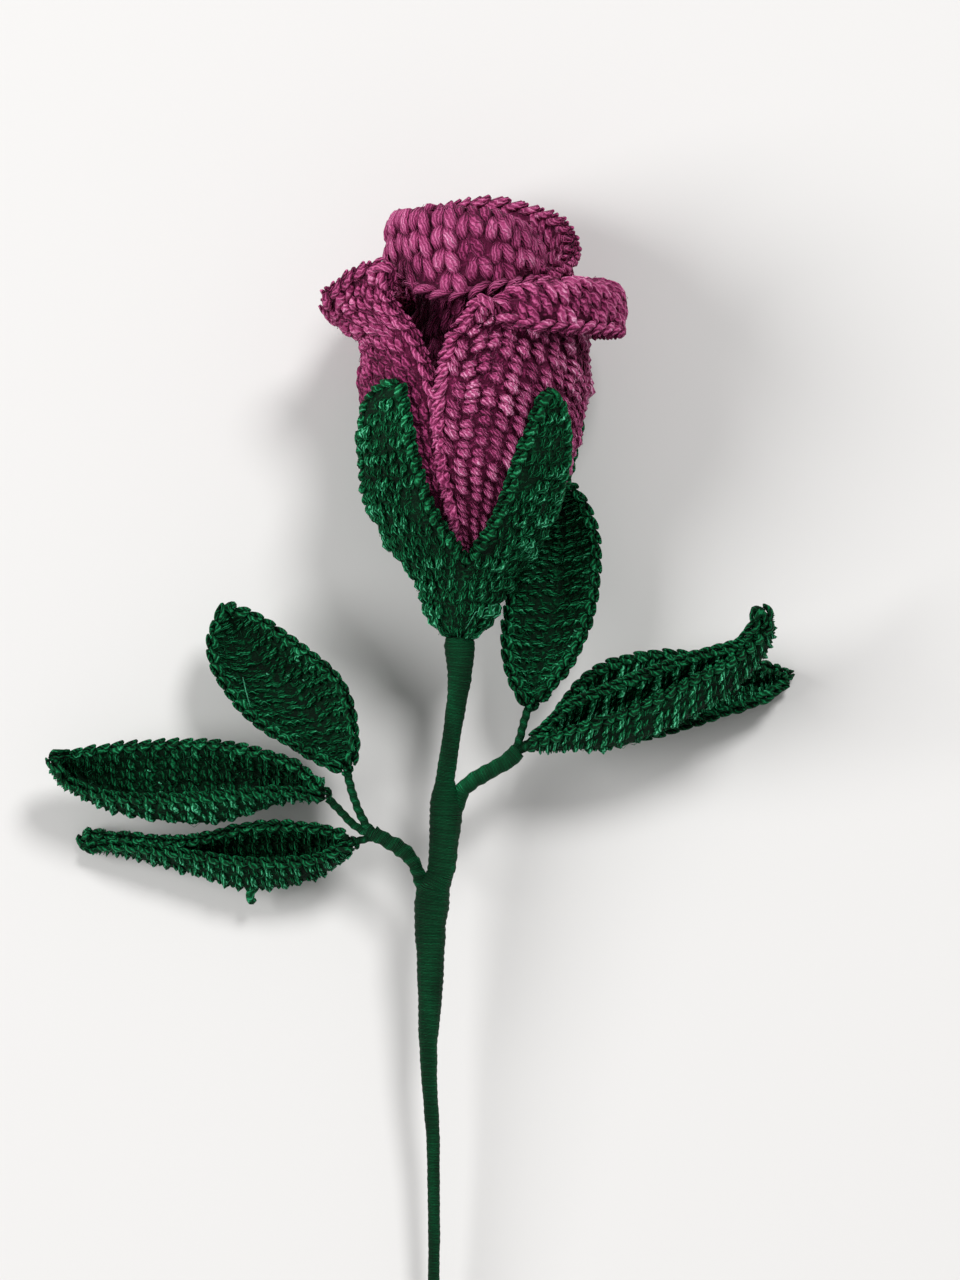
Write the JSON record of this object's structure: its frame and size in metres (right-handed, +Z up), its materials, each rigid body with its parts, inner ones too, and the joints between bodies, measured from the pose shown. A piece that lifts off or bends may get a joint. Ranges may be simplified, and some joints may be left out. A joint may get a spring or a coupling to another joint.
{
  "type": "crocheted yarn rose",
  "caption": "Crocheted yarn rose: rolled bud with curled petals, green calyx, and cupped leaves on a wire stem wound with thread.",
  "frame": {"origin": "centre of the bounding box on the ground under the rose, which lies on its back", "axes": "+Y along the stem towards the flower, +Z up, away from the ground"},
  "size_m": [0.1484, 0.2985, 0.0515],
  "materials": {
    "petal_yarn": "soft matte multi-strand yarn with a slight sheen",
    "calyx_yarn": "soft matte multi-strand yarn",
    "leaf_yarn": "soft matte multi-strand yarn",
    "stem_thread": "tightly wound fine thread",
    "wire_metal": "plain drawn wire"
  },
  "bodies": {
    "root": {"petal_centre": "petal_yarn", "petal_inner_back": "petal_yarn", "petal_left": "petal_yarn", "petal_right": "petal_yarn", "petal_back": "petal_yarn", "calyx": "calyx_yarn", "leaf_left_upper": "leaf_yarn", "leaf_left_middle": "leaf_yarn", "leaf_left_lower": "leaf_yarn", "leaf_right_upper": "leaf_yarn", "leaf_right_front": "leaf_yarn", "leaf_right_rear": "leaf_yarn", "stem_wrap": "stem_thread", "stem_wire": "wire_metal", "wire_leaf_left_upper": "wire_metal", "wire_leaf_left_middle": "wire_metal", "wire_leaf_left_lower": "wire_metal", "wire_leaf_right_upper": "wire_metal", "wire_leaf_right_front": "wire_metal", "wire_leaf_right_rear": "wire_metal"}
  },
  "joints": []
}
